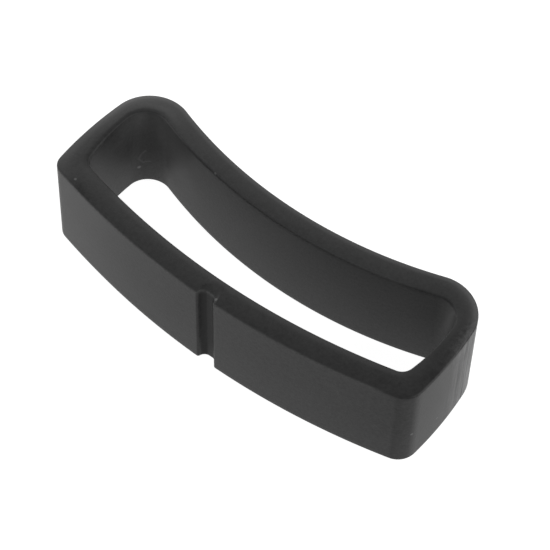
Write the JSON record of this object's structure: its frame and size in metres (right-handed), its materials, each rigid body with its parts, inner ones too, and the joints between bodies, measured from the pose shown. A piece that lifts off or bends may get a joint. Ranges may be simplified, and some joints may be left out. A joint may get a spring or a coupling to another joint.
{
  "type": "watch strap keeper",
  "caption": "Free keeper loop for a watch strap: a bowed rectangular ring moulded in black rubber, with rounded corners and a narrow groove across the middle of its outer wall.",
  "frame": {"origin": "middle of the loop's outline, seen along the strap passage, on the rim that it rests on", "axes": "+Z along the strap passage, from the rim it rests on to the other rim; +X along the loop's long way, across the strap; +Y from the grooved outer wall towards the wrist side wall"},
  "size_m": [0.028, 0.0106, 0.0072],
  "materials": {
    "black_rubber": "matt moulded rubber with a very fine grain"
  },
  "bodies": {
    "root": {"keeper_loop": "black_rubber"}
  },
  "joints": []
}
